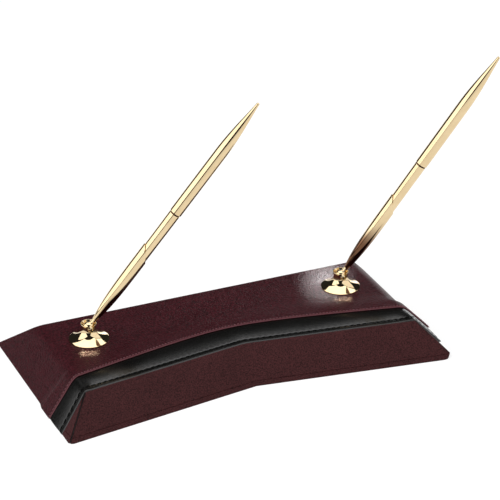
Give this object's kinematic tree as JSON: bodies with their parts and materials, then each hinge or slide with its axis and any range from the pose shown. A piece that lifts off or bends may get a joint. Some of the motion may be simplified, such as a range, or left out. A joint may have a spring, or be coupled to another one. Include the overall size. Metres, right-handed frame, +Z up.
{
  "type": "double pen stand",
  "caption": "Leather-covered desk pen stand: bevelled board with a notched front, ball-swivel funnel holders on bell sockets, and slim gold-coloured pens that lift out.",
  "frame": {"origin": "middle of the felt underside, on the table", "axes": "+X to the right along the length, +Y to the straight back edge, +Z up"},
  "size_m": [0.3147, 0.139, 0.1887],
  "materials": {
    "board": "raw fibreboard",
    "bevel_leather": "fine-grained brown burgundy, satin",
    "panel_leather": "fine-grained burgundy, satin sheen",
    "black_leather": "smooth black, satin",
    "pink_thread": "waxed thread",
    "black_thread": "waxed thread",
    "felt": "dark felt",
    "gold": "polished gold plate",
    "steel": "zinc plated",
    "nylon": "natural nylon",
    "dark_enamel": "dark red enamel",
    "bush_plastic": "moulded",
    "refill_metal": "plain metal tube"
  },
  "bodies": {
    "base": {"core_board": "board", "front_cover": "bevel_leather", "back_cover": "bevel_leather", "left_end_cover": "bevel_leather", "right_end_cover": "bevel_leather", "trim_strip": "black_leather", "top_panel": "panel_leather", "panel_thread": "pink_thread", "trim_thread": "black_thread", "base_pad": "felt", "left_socket": "gold", "right_socket": "gold", "left_socket_stud": "steel", "right_socket_stud": "steel", "socket_washers": "steel", "socket_nuts": "steel", "left_seat_spring": "steel", "right_seat_spring": "steel"},
    "left_seat": {"left_ball_seat": "nylon"},
    "right_seat": {"right_ball_seat": "nylon"},
    "left_holder": {"left_swivel_ball": "gold", "left_funnel": "gold"},
    "right_holder": {"right_swivel_ball": "gold", "right_funnel": "gold"},
    "left_pen": {"left_pen_nose": "gold", "left_lower_barrel": "gold", "left_pen_ring": "dark_enamel", "left_tail_barrel": "gold", "left_thread_bush": "bush_plastic", "left_refill": "refill_metal"},
    "right_pen": {"right_pen_nose": "gold", "right_lower_barrel": "gold", "right_pen_ring": "dark_enamel", "right_tail_barrel": "gold", "right_thread_bush": "bush_plastic", "right_refill": "refill_metal"}
  },
  "joints": [
    {"name": "left_swivel", "type": "hinge", "parent": "base", "child": "left_seat", "pos_m": [-0.0893, 0.0133, 0.0305], "axis": [0, 0, 1], "continuous": true},
    {"name": "left_tilt", "type": "hinge", "parent": "left_seat", "child": "left_holder", "pos_m": [-0.0893, 0.0133, 0.0305], "axis": [0.2924, 0.9563, 0], "range_deg": [-36, 2]},
    {"name": "left_pen_lift", "type": "slide", "parent": "left_holder", "child": "left_pen", "axis": [0.5621, -0.1719, 0.809], "range_m": [0, 0.06]},
    {"name": "right_swivel", "type": "hinge", "parent": "base", "child": "right_seat", "pos_m": [0.0893, 0.0133, 0.0305], "axis": [0, 0, 1], "range_deg": [-120, 190]},
    {"name": "right_tilt", "type": "hinge", "parent": "right_seat", "child": "right_holder", "pos_m": [0.0893, 0.0133, 0.0305], "axis": [0.4305, 0.9026, 0], "range_deg": [-31.8, 6]},
    {"name": "right_pen_lift", "type": "slide", "parent": "right_holder", "child": "right_pen", "axis": [0.4756, -0.2269, 0.8499], "range_m": [0, 0.06]}
  ]
}
